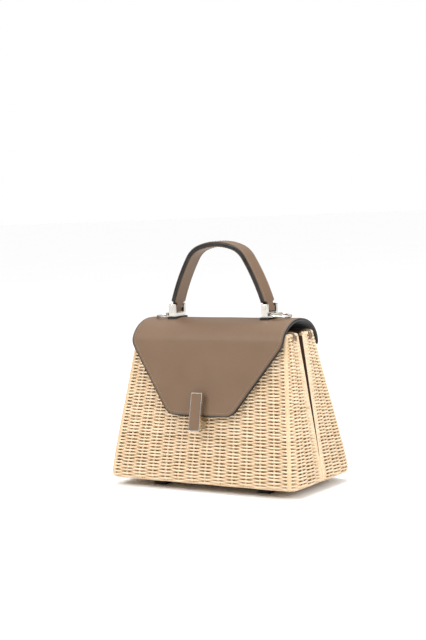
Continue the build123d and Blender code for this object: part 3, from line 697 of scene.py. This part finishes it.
# ---- Thongs that tie the rims ----
def rim_profile(z_out, z_in, clear):
    """Side view of a side wall's rim: places from the outside, over the top, to the inside."""
    w = HALF_W_TOP
    lean = (HALF_W_BOTTOM - HALF_W_TOP) / BASKET_H
    outer = [(w + lean * (RIM_Z - z) + clear, z) for z in np.linspace(z_out, RIM_Z - 4.0, 6)]
    top = []
    for turn in np.radians(np.linspace(0, 90, 7))[1:]:
        top.append((w - 4.0 + (4.0 + clear) * math.cos(turn), RIM_Z - 4.0 + (4.0 + clear) * math.sin(turn)))
    flat = [(w - 5.0, RIM_Z + clear), (w - 6.1, RIM_Z + clear * 0.7), (w - 6.7, RIM_Z - 0.8)]
    inner = [(w - 6.9 + lean * (RIM_Z - z), z) for z in np.linspace(RIM_Z - 2.5, z_in, 4)]
    return np.array(outer + top + flat + inner)


def thong(name, side, y_centre, form, node):
    """Two strands over a side wall's rim, which cross outside as an X or run side by side."""
    pile = Pile()
    profile = resample(rim_profile(RIM_Z - 8.0, RIM_Z - 7.0, 0.55), 40)
    u = np.linspace(0, 1, len(profile))
    tangent = unit(np.gradient(profile, axis=0))
    normal = np.stack([side * tangent[:, 1], np.zeros(len(u)), -tangent[:, 0]], 1)
    crossed = np.pi * np.clip(u / CROSS_SHARE, 0, 1)
    spread = 0.95 + 0.75 * smoothstep(0.0, 0.18, u) - 0.9 * (1 - smoothstep(0.0, 0.07, u))
    dive = THONG_DIVE * (1 - smoothstep(0.0, 0.13, u))
    for sign in (1, -1):
        shift = CROSS_HALF_W * np.cos(crossed) if form == "cross" else spread
        lift = 0.35 * np.sin(crossed) if form == "cross" and sign > 0 else 0.0
        y = y_centre + sign * shift
        past = np.clip(np.abs(y) - (HALF_D_TOP - CORNER_R), 0, CORNER_R)
        turned_in = CORNER_R - np.sqrt(CORNER_R ** 2 - past ** 2)
        line = np.stack([side * (profile[:, 0] - turned_in), y, profile[:, 1]], 1)
        line = line + normal * (lift - dive)[:, None]
        across = unit(np.cross(np.gradient(line, axis=0), normal))
        pile.sweep(line, normal, across, 0.5, 0.95, sides=10, square=0.6)
    pile.build(name, THONG, BODY_OF[node], "thong", replaces=(node,))


for side, word in ((1, "right"), (-1, "left")):
    for end, form in (("front", "cross"), ("rear", "loop")):
        node = f"{end}_{word}_tie"
        low, high = box_mm(node)
        shift = -2.4 if form == "cross" else 0.0
        thong(f"{end}_{word}_thong", side, (low[1] + high[1]) / 2 + shift, form, node)


# ---- Linings and gussets ----
def lining(name, sy, node):
    """A fitted cloth tray in one half: hemmed walls with soft dents and a floor."""
    u = np.linspace(0, 1, 150)
    heights = np.concatenate([
        LINING_TOP_H - np.array([0.0, 0.35, 0.9, 1.8, 3.4, 4.6, 5.2, 5.8, 7.0]),
        np.linspace(LINING_TOP_H - 14, 9.0, 12),
    ])
    hem = np.array([0.55, 0.18, 0.0, -0.05, -0.05, 0.0, 0.35, 0.3, 0.25])
    places = [(h, LINING_IN + dent) for h, dent in zip(heights, np.concatenate([hem, np.full(12, 0.2)]))]
    depth = half_depth(0) + sy * GAP_Y
    floor = [(6.9, LINING_IN + 0.7), (5.9, LINING_IN + 2.4)]
    floor += [(5.6, inset) for inset in np.linspace(11.0, depth - 1.6, 8)]
    outer, inner = [], []
    for h, inset in places + floor:
        for layer, target in ((0.0, outer), (1.0, inner)):
            is_floor = inset > LINING_IN + 2
            path = HalfPath(sy, h, inset + (0.0 if is_floor else layer * (LINING_T - 0.3)), gap_extra=0.05)
            line, normal = path.at(u * path.length)
            soft = 0.10 * np.sin(u * 37 + h * 0.05) * np.sin(h * 0.09)
            z = BASE_Z + h + layer * (LINING_T if is_floor else 0.0)
            target.append(with_z(line - normal * soft[:, None], z))
    pile = Pile()
    pile.slab(np.array(inner), np.array(outer))
    pile.build(name, LINING, "basket", "lining", replaces=(node,))


def lining_seam(name, sy):
    """The stitches along a lining's hem."""
    seams = Pile()
    path = HalfPath(sy, LINING_TOP_H - 5.0, LINING_IN + LINING_T - 0.25)
    for t in np.arange(2.0, path.length - 4.0, 3.0):
        (a, b), normals = path.at([t, t + STITCH_L])
        z = BASE_Z + LINING_TOP_H - 4.9
        stitch(seams, (*a, z), (*b, z), (*-normals[0], 0.0), 0.26)
    seams.build(name, THREAD, "basket", "lining", crease=50)


for end, sy in (("front", -1), ("rear", 1)):
    lining(f"{end}_lining_cloth", sy, f"{end}_lining")
    lining_seam(f"{end}_lining_cloth_stitches", sy)


def gusset(name, side, node):
    """Soft leather folded into the bag between the two halves."""
    low, high = box_mm(node)
    rows = []
    for z in np.linspace(low[2], high[2], 22):
        h = z - BASE_Z
        share = (z - low[2]) / (high[2] - low[2])
        x = half_width(h) - LINING_IN - LINING_T - 0.35
        gap, fold = HALF_SEAM + (HALF_GAP_TOP - HALF_SEAM) * share, 1.5 + 9.5 * share
        half = [(x, -gap - 4.3), (x, -gap - 1.0), (x - 0.3, -gap), (x - fold * 0.5, -gap * 0.5),
                (x - fold + 0.5, -0.25)]
        corners = half + [(x - fold, 0.0)] + [(place, -y) for place, y in half[::-1]]
        section = resample(corners, 41)
        section[:, 0] += 0.12 * np.sin(section[:, 1] * 2 + z * 0.13) * share
        rows.append(np.stack([side * section[:, 0], GAP_Y + section[:, 1], np.full(41, z)], 1))
    outer = np.array(rows)
    inner = outer - np.array([side * 1.1, 0.0, 0.0])
    pile = Pile()
    pile.slab(outer, inner)
    pile.build(name, BROWN_LEATHER, "basket", "dark_leather", replaces=(node,))


def facing(name, sy):
    """Thin dark leather on the faces of the gap, between the outer edge canes and the lining."""
    pile = Pile()
    h = np.linspace(FACING_LOW_H, LAST_ROW_H + 0.5, 28)[:, None]
    depth_in = np.linspace(0.75, LINING_IN + 0.6, 7)
    for side in (1, -1):
        layers = []
        for thickness in (0.0, FACING_T):
            thick = thickness * smoothstep(FACING_LOW_H, FACING_FULL_H, h)
            y = sy * (sy * GAP_Y + half_gap(h) - thick - 0.02)
            places = np.broadcast_arrays(side * (half_width(h) - depth_in), y, BASE_Z + h)
            layers.append(np.stack(places, -1))
        pile.slab(layers[1], layers[0])
    pile.build(name, BROWN_LEATHER, "basket", "dark_leather", crease=40)


def rim_binding_and_shade(name, sy):
    """Thin dark leather over the inner side of a rim. It stands partly for the lining that covers the rim's
    inner side and partly for painted shade, the deep shadow that falls there under the flap.
    """
    u = np.linspace(0, 1, 170)
    rim = LINING_TOP_H - BASKET_H
    section = [(LINING_IN + 0.7, rim - 1.5), (LINING_IN + 0.75, -3.0), (LINING_IN + 0.5, -1.3),
               (LINING_IN - 0.5, -0.25), (LINING_IN - 1.5, 0.1)]
    outer, inner = [], []
    for inset, below in section:
        path = HalfPath(sy, BASKET_H + below, inset, gap_extra=0.9)
        line, normal = path.at(u * path.length)
        ripple = 0.05 * np.sin(u * 260)
        outer.append(with_z(line - normal * ripple[:, None], BASE_Z + BASKET_H + below))
        inner.append(outer[-1] + with_z(normal * 0.4, -0.35))
    pile = Pile()
    pile.slab(np.array(outer), np.array(inner))
    pile.build(name, BROWN_LEATHER, "basket", "dark_leather")


# Dark strips on the rims that are partly painted shade: the shadow under the flap.
rim_binding_and_shade("front_rim_binding_and_shade", -1)
rim_binding_and_shade("rear_rim_binding_and_shade", 1)
facing("front_gap_facing", -1)
facing("rear_gap_facing", 1)
gusset("right_gusset_fold", 1, "right_gusset")
gusset("left_gusset_fold", -1, "left_gusset")


# ---- Flap ----
class FlapSurface:
    """The outside of the flap, as a sheet measured from its rear end round to its lower edge."""

    def __init__(self):
        lean = math.tan(LEAN)
        meet = math.atan(lean * ARCH_B / ARCH_A)
        start = math.asin((REAR_END_Z - ARCH_Z) / ARCH_B)
        turn = np.linspace(start, math.pi - meet, 400)
        arc = np.stack([ARCH_A * np.cos(turn), ARCH_Z + ARCH_B * np.sin(turn)], 1)
        arc_out = unit(np.stack([np.cos(turn) / ARCH_A, np.sin(turn) / ARCH_B], 1))
        down = np.linspace(arc[-1, 1], TIP_Z, 200)[1:]
        line = np.stack([arc[-1, 0] - lean * (arc[-1, 1] - down), down], 1)
        line_out = np.repeat([[-math.cos(LEAN), math.sin(LEAN)]], len(down), 0)
        self.places = np.concatenate([arc, line])
        self.out = np.concatenate([arc_out, line_out])
        self.s = lengths_along(self.places)
        self.length = self.s[-1]
        self.outline = self.make_outline()

    def front_s(self, z):
        """How far along the front a height is."""
        return self.length - (np.asarray(z, float) - TIP_Z) / math.cos(LEAN)

    def make_outline(self):
        """Right edge of the sheet, from the rear end to the middle of the lower edge, as (x, s)."""
        slant = np.array([FLAP_TIP_HALF_W - FLAP_HALF_W, TIP_Z - SHOULDER_Z])
        angle = math.atan2(-slant[0], -slant[1])
        points = [(FLAP_HALF_W, 0.0)]
        tangent = FLAP_SHOULDER_R * math.tan(angle / 2)
        for k in np.linspace(0, angle, 10):
            points.append((FLAP_HALF_W - FLAP_SHOULDER_R * (1 - math.cos(k)),
                           float(self.front_s(SHOULDER_Z + tangent - FLAP_SHOULDER_R * math.sin(k)))))
        turn = math.pi / 2 - angle
        centre_x = FLAP_TIP_HALF_W - FLAP_TIP_R * math.tan(turn / 2)
        for k in np.linspace(angle, math.pi / 2, 14):
            points.append((centre_x + FLAP_TIP_R * math.cos(k),
                           float(self.front_s(TIP_Z + FLAP_TIP_R - FLAP_TIP_R * math.sin(k)))))
        points.append((0.0, self.length))
        return np.array(points)

    def half_width(self, s):
        side = self.outline[:-1]
        return np.interp(s, side[:, 1], side[:, 0])

    def read(self, s, table):
        """The columns of a table at places along the sheet."""
        return [np.interp(s, self.s, column) for column in table.T]

    def at(self, x, s, depth):
        """Points this deep in the leather, with the leather's slight unevenness."""
        x, s, depth = np.broadcast_arrays(*(np.asarray(v, float) for v in (x, s, depth)))
        (y, z), (oy, oz) = self.read(s, self.places), self.read(s, self.out)
        soft = 0.16 * np.sin(x * 0.045 + 0.6) * np.sin(s * 0.06) + 0.07 * np.sin(x * 0.11 - s * 0.05)
        depth = depth + soft
        return np.stack([x, y - oy * depth, z - oz * depth], -1)

    def out_at(self, s):
        """Outward normals."""
        return np.stack([np.zeros_like(s), *self.read(s, self.out)], -1)

    def loop(self, inset=0.0, spacing=1.5):
        """The whole edge of the sheet, moved in by inset, as a closed line of (x, s)."""
        right = self.outline[:-1]
        rear = np.array([(0.0, 0.0), (FLAP_HALF_W, 0.0)])
        half = np.concatenate([rear, right[1:], self.outline[-1:]])
        half = resample(half, int(np.linalg.norm(np.diff(half, axis=0), axis=1).sum() / spacing))
        whole = np.concatenate([half, (half * [-1.0, 1.0])[::-1][1:-1]])
        if not inset:
            return whole
        along = unit(np.roll(whole, -1, 0) - np.roll(whole, 1, 0))
        inward = np.stack([-along[:, 1], along[:, 0]], 1)
        moved = whole + inward * inset
        return moved[self.edge_distance(moved) > inset * 0.985]

    def edge_distance(self, points):
        """Distance of each (x, s) from the edge of the sheet."""
        edge = np.concatenate([
            [(0.0, 0.0)], self.outline, (self.outline[:-1] * [-1.0, 1.0])[::-1], [(0.0, 0.0)]
        ])
        shape = points.shape[:-1]
        p = points.reshape(-1, 2)
        best = np.full(len(p), 1e9)
        for a, b in zip(edge, edge[1:]):
            d = b - a
            t = np.clip(((p - a) @ d) / max(d @ d, 1e-9), 0, 1)
            best = np.minimum(best, np.linalg.norm(p - a - t[:, None] * d, axis=1))
        return best.reshape(shape)


FLAP = FlapSurface()
EDGE_STEPS = np.array([0.0, 0.3, 0.8, 1.6, 3.2])


def flap_grid(shrink):
    """Grid of (x, s) over the sheet, closer together near its edges."""
    sides, slant, curve = FLAP.outline[1:11, 1], FLAP.outline[10:12, 1], FLAP.outline[11:-1, 1]
    s = np.concatenate([
        shrink + EDGE_STEPS,
        np.linspace(6.0, sides[0] - 2.0, 54),
        sides,
        np.linspace(slant[0] + 2.0, slant[1] - 1.0, 24),
        curve,
    ])
    s = np.unique(np.round(np.clip(s, shrink, FLAP.length - shrink), 3))
    edge = (FLAP.half_width(s) - shrink)[:, None] - EDGE_STEPS
    x = np.concatenate([-edge, edge[:, -1:] * np.linspace(-1, 1, 31)[1:-1], edge[:, ::-1]], 1)
    return np.broadcast_arrays(x, s[:, None])


def blended(piece):
    """Bakes a soft piece's placement into its mesh; the piece is attached to no body."""
    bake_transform(piece)


def flap_layer(name, top_depth, thickness, shrink, roll, material, slot, nodes):
    """One sheet of the flap, shrunk at its edges and rolled in there."""
    x, s = flap_grid(shrink)
    near = FLAP.edge_distance(np.stack([x, s], -1)) - shrink
    bend = roll * np.clip(1 - near / 1.6, 0, 1) ** 2
    top = FLAP.at(x, s, top_depth + bend)
    bottom = FLAP.at(x, s, top_depth + thickness - 0.4 * bend)
    tone = 0.55 + 0.45 * smoothstep(0.0, 2.6, near)
    pile = Pile()
    pile.slab(top, bottom, tone=tone.ravel())
    blended(pile.build(name, material, None, slot, replaces=nodes, crease=40))


INNER_DEPTH = LEATHER_T + GLUE
flap_layer("flap_outer", 0.0, LEATHER_T, 0.0, 0.5, TAUPE, "leather", ("flap_leather", "rear_strip"))
flap_layer("flap_inner", INNER_DEPTH, FLAP_LINING_T, 0.25, 0.1, SUEDE, "dark_leather", ("flap_lining",))


def flap_edge():
    """The painted edge: a glossy half-round bead that runs all the way round."""
    loop = FLAP.loop(spacing=1.4)
    points = FLAP.at(loop[:, 0], loop[:, 1], 1.5)
    out = FLAP.out_at(loop[:, 1])
    along = unit(np.roll(points, -1, 0) - np.roll(points, 1, 0))
    across = unit(np.cross(along, out))
    out = unit(np.cross(across, along))
    pile = Pile()
    pile.sweep(points, out, across, 1.35, 0.62, sides=12, square=0.8, closed=True)
    blended(pile.build("flap_edge", EDGE, None, "dark_leather"))


flap_edge()


def stitch_row(pile, line, outs, closed=True):
    """Stitches along a line on a surface."""
    if closed:
        line, outs = np.concatenate([line, line[:1]]), np.concatenate([outs, outs[:1]])
    along = lengths_along(line)
    count = int(along[-1] / STITCH_PITCH)
    for k in range(count):
        start = (k + 0.1) * along[-1] / count
        a, b = ([np.interp(t, along, column) for column in line.T] for t in (start, start + STITCH_L))
        up = unit([np.interp(start, along, column) for column in outs.T])
        stitch(pile, a, b, up, STITCH_R)


def flap_stitches():
    """The seam that runs all the way round the flap."""
    loop = FLAP.loop(inset=FLAP_SEAM_IN, spacing=1.0)
    pile = Pile()
    stitch_row(pile, FLAP.at(loop[:, 0], loop[:, 1], -0.02), FLAP.out_at(loop[:, 1]))
    blended(pile.build("flap_stitches", THREAD, None, "leather"))


flap_stitches()


# ---- Handle ----
def handle_path():
    """Middle line of the strap, from its left end to its right end, with its outward normals."""
    (cx, cz), angle = (0.0, -HANDLE_ARCS[0][0]), 0.0
    points, outs = [], []
    for i, (radius, end) in enumerate(HANDLE_ARCS):
        if i:
            before = HANDLE_ARCS[i - 1][0]
            a = math.radians(angle)
            cx, cz = cx + (before - radius) * math.sin(a), cz + (before - radius) * math.cos(a)
        for a in np.radians(np.linspace(angle, end, HANDLE_SAMPLES))[(1 if i else 0):]:
            r = radius - HANDLE_T / 2
            points.append((cx + r * math.sin(a), cz + r * math.cos(a)))
            outs.append((math.sin(a), math.cos(a)))
        angle = end
    a = math.radians(angle)
    tab_x, tab_z = points[-1]
    for t in np.linspace(0, HANDLE_TAB_L, 18)[1:]:
        points.append((tab_x + t * math.cos(a), tab_z - t * math.sin(a)))
        outs.append((math.sin(a), math.cos(a)))
    halves = (np.insert(table, 1, 0.0, axis=1) for table in (np.array(points) + [0.0, HANDLE_TOP_Z], outs))
    return [np.concatenate([(half * [-1.0, 1.0, 1.0])[::-1][:-1], half]) for half in halves]


def handle():
    """The strap: an edge-painted core with a leather skin on each side and a seam along each edge."""
    line, out = handle_path()
    z = line[:, 2]
    u = np.clip((z - TAB_START_Z) / NARROWING_H, 0, 1)
    wide = HANDLE_TAB_HALF_W + (HANDLE_W / 2 - HANDLE_TAB_HALF_W) * (1 - np.sqrt(1 - u ** 2))
    core, skins, seams = Pile(), Pile(), Pile()
    core.sweep(line, out, ACROSS, HANDLE_T / 2 - 0.15, wide, sides=28, square=0.42)
    keep = z > TAB_START_Z + NARROWING_H
    for sign in (1, -1):
        middle = line + out * (sign * (HANDLE_T / 2 - 0.25))
        half_w = wide[1:-1] - 0.95
        skins.sweep(middle[1:-1], out[1:-1], ACROSS, SKIN_HALF_T, half_w, sides=20, square=0.35)
        for edge in (1, -1):
            row = middle[keep] + out[keep] * (sign * SKIN_HALF_T)
            row[:, 1] += edge * (HANDLE_W / 2 - HANDLE_SEAM_IN)
            stitch_row(seams, row, out[keep] * sign, closed=False)
    core.build("handle_core", EDGE, "flap", "leather", replaces=("handle_strap",))
    skins.build("handle_skins", TAUPE, "flap", "leather", crease=50)
    seams.build("handle_stitches", THREAD, "flap", "leather")


handle()


# ---- Fittings: the CAD shapes with softened edges ----
def soften(node, material, bevel):
    """A copy of a CAD node with its edges rounded, which stands in its place."""
    mesh = frame["nodes"][node].data.copy()
    mesh.materials.clear()
    mesh.materials.append(material)
    bm = bmesh.new()
    bm.from_mesh(mesh)
    bmesh.ops.remove_doubles(bm, verts=bm.verts, dist=2e-6)
    bmesh.ops.dissolve_limit(bm, angle_limit=math.radians(0.6), verts=bm.verts, edges=bm.edges)
    for face in bm.faces:
        face.material_index = 0
    bm.to_mesh(mesh)
    bm.free()
    set_tone(mesh, np.ones(len(mesh.vertices)))
    mesh.shade_smooth()
    mesh.set_sharp_from_angle(angle=math.radians(32))
    piece = put(f"{node}_finished", mesh)
    modifier = piece.modifiers.new("rounding", "BEVEL")
    modifier.width = bevel * MM
    modifier.segments = 3
    modifier.limit_method = "ANGLE"
    modifier.angle_limit = math.radians(35)
    modifier.harden_normals = False
    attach(piece, BODY_OF[node])
    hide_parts(node)


SIDE_FITTINGS = (("stirrup", 0.35), ("handle_pin", 0.15), ("ring_holder", 0.18), ("ring", 0.12),
                 ("backing_plate", 0.2))
for word in ("left", "right"):
    for part, bevel in SIDE_FITTINGS:
        soften(f"{word}_{part}", NICKEL, bevel)
    soften(f"{word}_pad", BLACK_LEATHER, 0.42)
for node, bevel in (("closure_bar", 0.3), ("closure_plate", 0.35), ("closure_post", 0.12),
                    ("closure_washer", 0.15), ("closure_screws", 0.12), ("closure_backplate", 0.2),
                    ("stirrup_screws", 0.12), ("foot_screws", 0.15), ("rear_rivets", 0.25)):
    # The closure plate takes the copy of the nickel whose warm tint is a painted reflection of the cane.
    soften(node, NICKEL_WITH_PAINTED_REFLECTION if node == "closure_plate" else NICKEL, bevel)
soften("closure_inlay", TAUPE, 0.4)
soften("base_board", LINING, 0.8)
for end in ("front", "rear"):
    for word in ("left", "right"):
        soften(f"foot_{end}_{word}", BLACK_LEATHER, 0.5)


# ---- Floor, light and camera ----
def floor_paint():
    """A matt near-white."""
    p = Paint("pale_floor", Roughness=0.7, Specular_IOR_Level=0.2)
    p.colour(p.ramp(p.noise(3.0, 2.0), [(0.3, (0.97, 0.97, 0.97)), (0.7, (0.98, 0.98, 0.98))]))
    return p.material


def lay_floor(half):
    """A pale square that the bag stands on."""
    mesh = bpy.data.meshes.new("floor")
    corners = [(-half, -half, 0), (half, -half, 0), (half, half, 0), (-half, half, 0)]
    mesh.from_pydata(corners, [], [(0, 1, 2, 3)])
    mesh.materials.append(floor_paint())
    floor = put("floor", mesh)


lay_floor(20.0)


def studio():
    """A white backdrop, and a softer sky that is darker near the horizon to light the bag."""
    world = bpy.data.worlds.new("studio")
    world.use_nodes = True
    tree = world.node_tree
    new, link = tree.nodes.new, tree.links.new
    sky = tree.nodes["Background"]
    place = new("ShaderNodeTexCoord")
    split = new("ShaderNodeSeparateXYZ")
    ramp = new("ShaderNodeValToRGB")
    stops = ((0.0, 0.22), (0.10, 0.20), (0.22, 0.52), (0.5, 1.0), (1.0, 1.25))
    set_stops(ramp.color_ramp, [(height, (grey, grey, grey)) for height, grey in stops])
    white = new("ShaderNodeBackground")
    white.inputs["Color"].default_value = (1.0, 1.0, 1.0, 1)
    seen = new("ShaderNodeLightPath")
    mix = new("ShaderNodeMixShader")
    link(place.outputs["Generated"], split.inputs["Vector"])
    link(split.outputs["Z"], ramp.inputs["Fac"])
    link(ramp.outputs["Color"], sky.inputs["Color"])
    link(seen.outputs["Is Camera Ray"], mix.inputs["Fac"])
    link(sky.outputs["Background"], mix.inputs[1])
    link(white.outputs["Background"], mix.inputs[2])
    link(mix.outputs["Shader"], tree.nodes["World Output"].inputs["Surface"])
    bpy.context.scene.world = world


studio()


def lamp(name, place, size, power, colour=(1.0, 1.0, 1.0)):
    """A round soft light, turned to the middle of the bag."""
    data = bpy.data.lights.new(name, "AREA")
    data.shape = "DISK"
    data.size = size
    data.energy = power
    data.color = colour
    light = put(name, data)
    light.location = place
    light.rotation_euler = (BAG_MIDDLE - Vector(place)).to_track_quat("-Z", "Y").to_euler()


BAG_MIDDLE = Vector((0.0, 0.0, 0.11))
lamp("key", (-0.75, -1.25, 1.25), 0.6, 11.5)
lamp("side", (1.45, -0.55, 0.75), 0.9, 13.0, (0.86, 0.93, 1.0))
lamp("top", (0.0, 0.1, 1.6), 1.0, 12.0)


def set_camera(azimuth, elevation, roll, aim, distance, lens):
    """The photo's view: angles in degrees, the aim and the distance in metres."""
    azimuth, elevation, roll = (math.radians(angle) for angle in (azimuth, elevation, roll))
    back = Vector((math.sin(azimuth) * math.cos(elevation), -math.cos(azimuth) * math.cos(elevation),
                   math.sin(elevation)))
    level = Vector((math.cos(azimuth), math.sin(azimuth), 0.0))
    above = back.cross(level)
    right = level * math.cos(roll) + above * math.sin(roll)
    up = above * math.cos(roll) - level * math.sin(roll)
    data = bpy.data.cameras.new("camera")
    data.sensor_fit = "VERTICAL"
    data.sensor_height = 36.0
    data.lens = lens
    camera = put("camera", data)
    turned = Matrix((right, up, back)).transposed()
    camera.matrix_world = Matrix.Translation(Vector(aim) + back * distance) @ turned.to_4x4()
    bpy.context.scene.camera = camera


set_camera(33.64, 4.70, -2.50, aim=(-0.0116, 0.0, 0.1608), distance=1.4076, lens=80.44)
bpy.context.scene.view_settings.view_transform = "Standard"

bpy.context.view_layer.update()
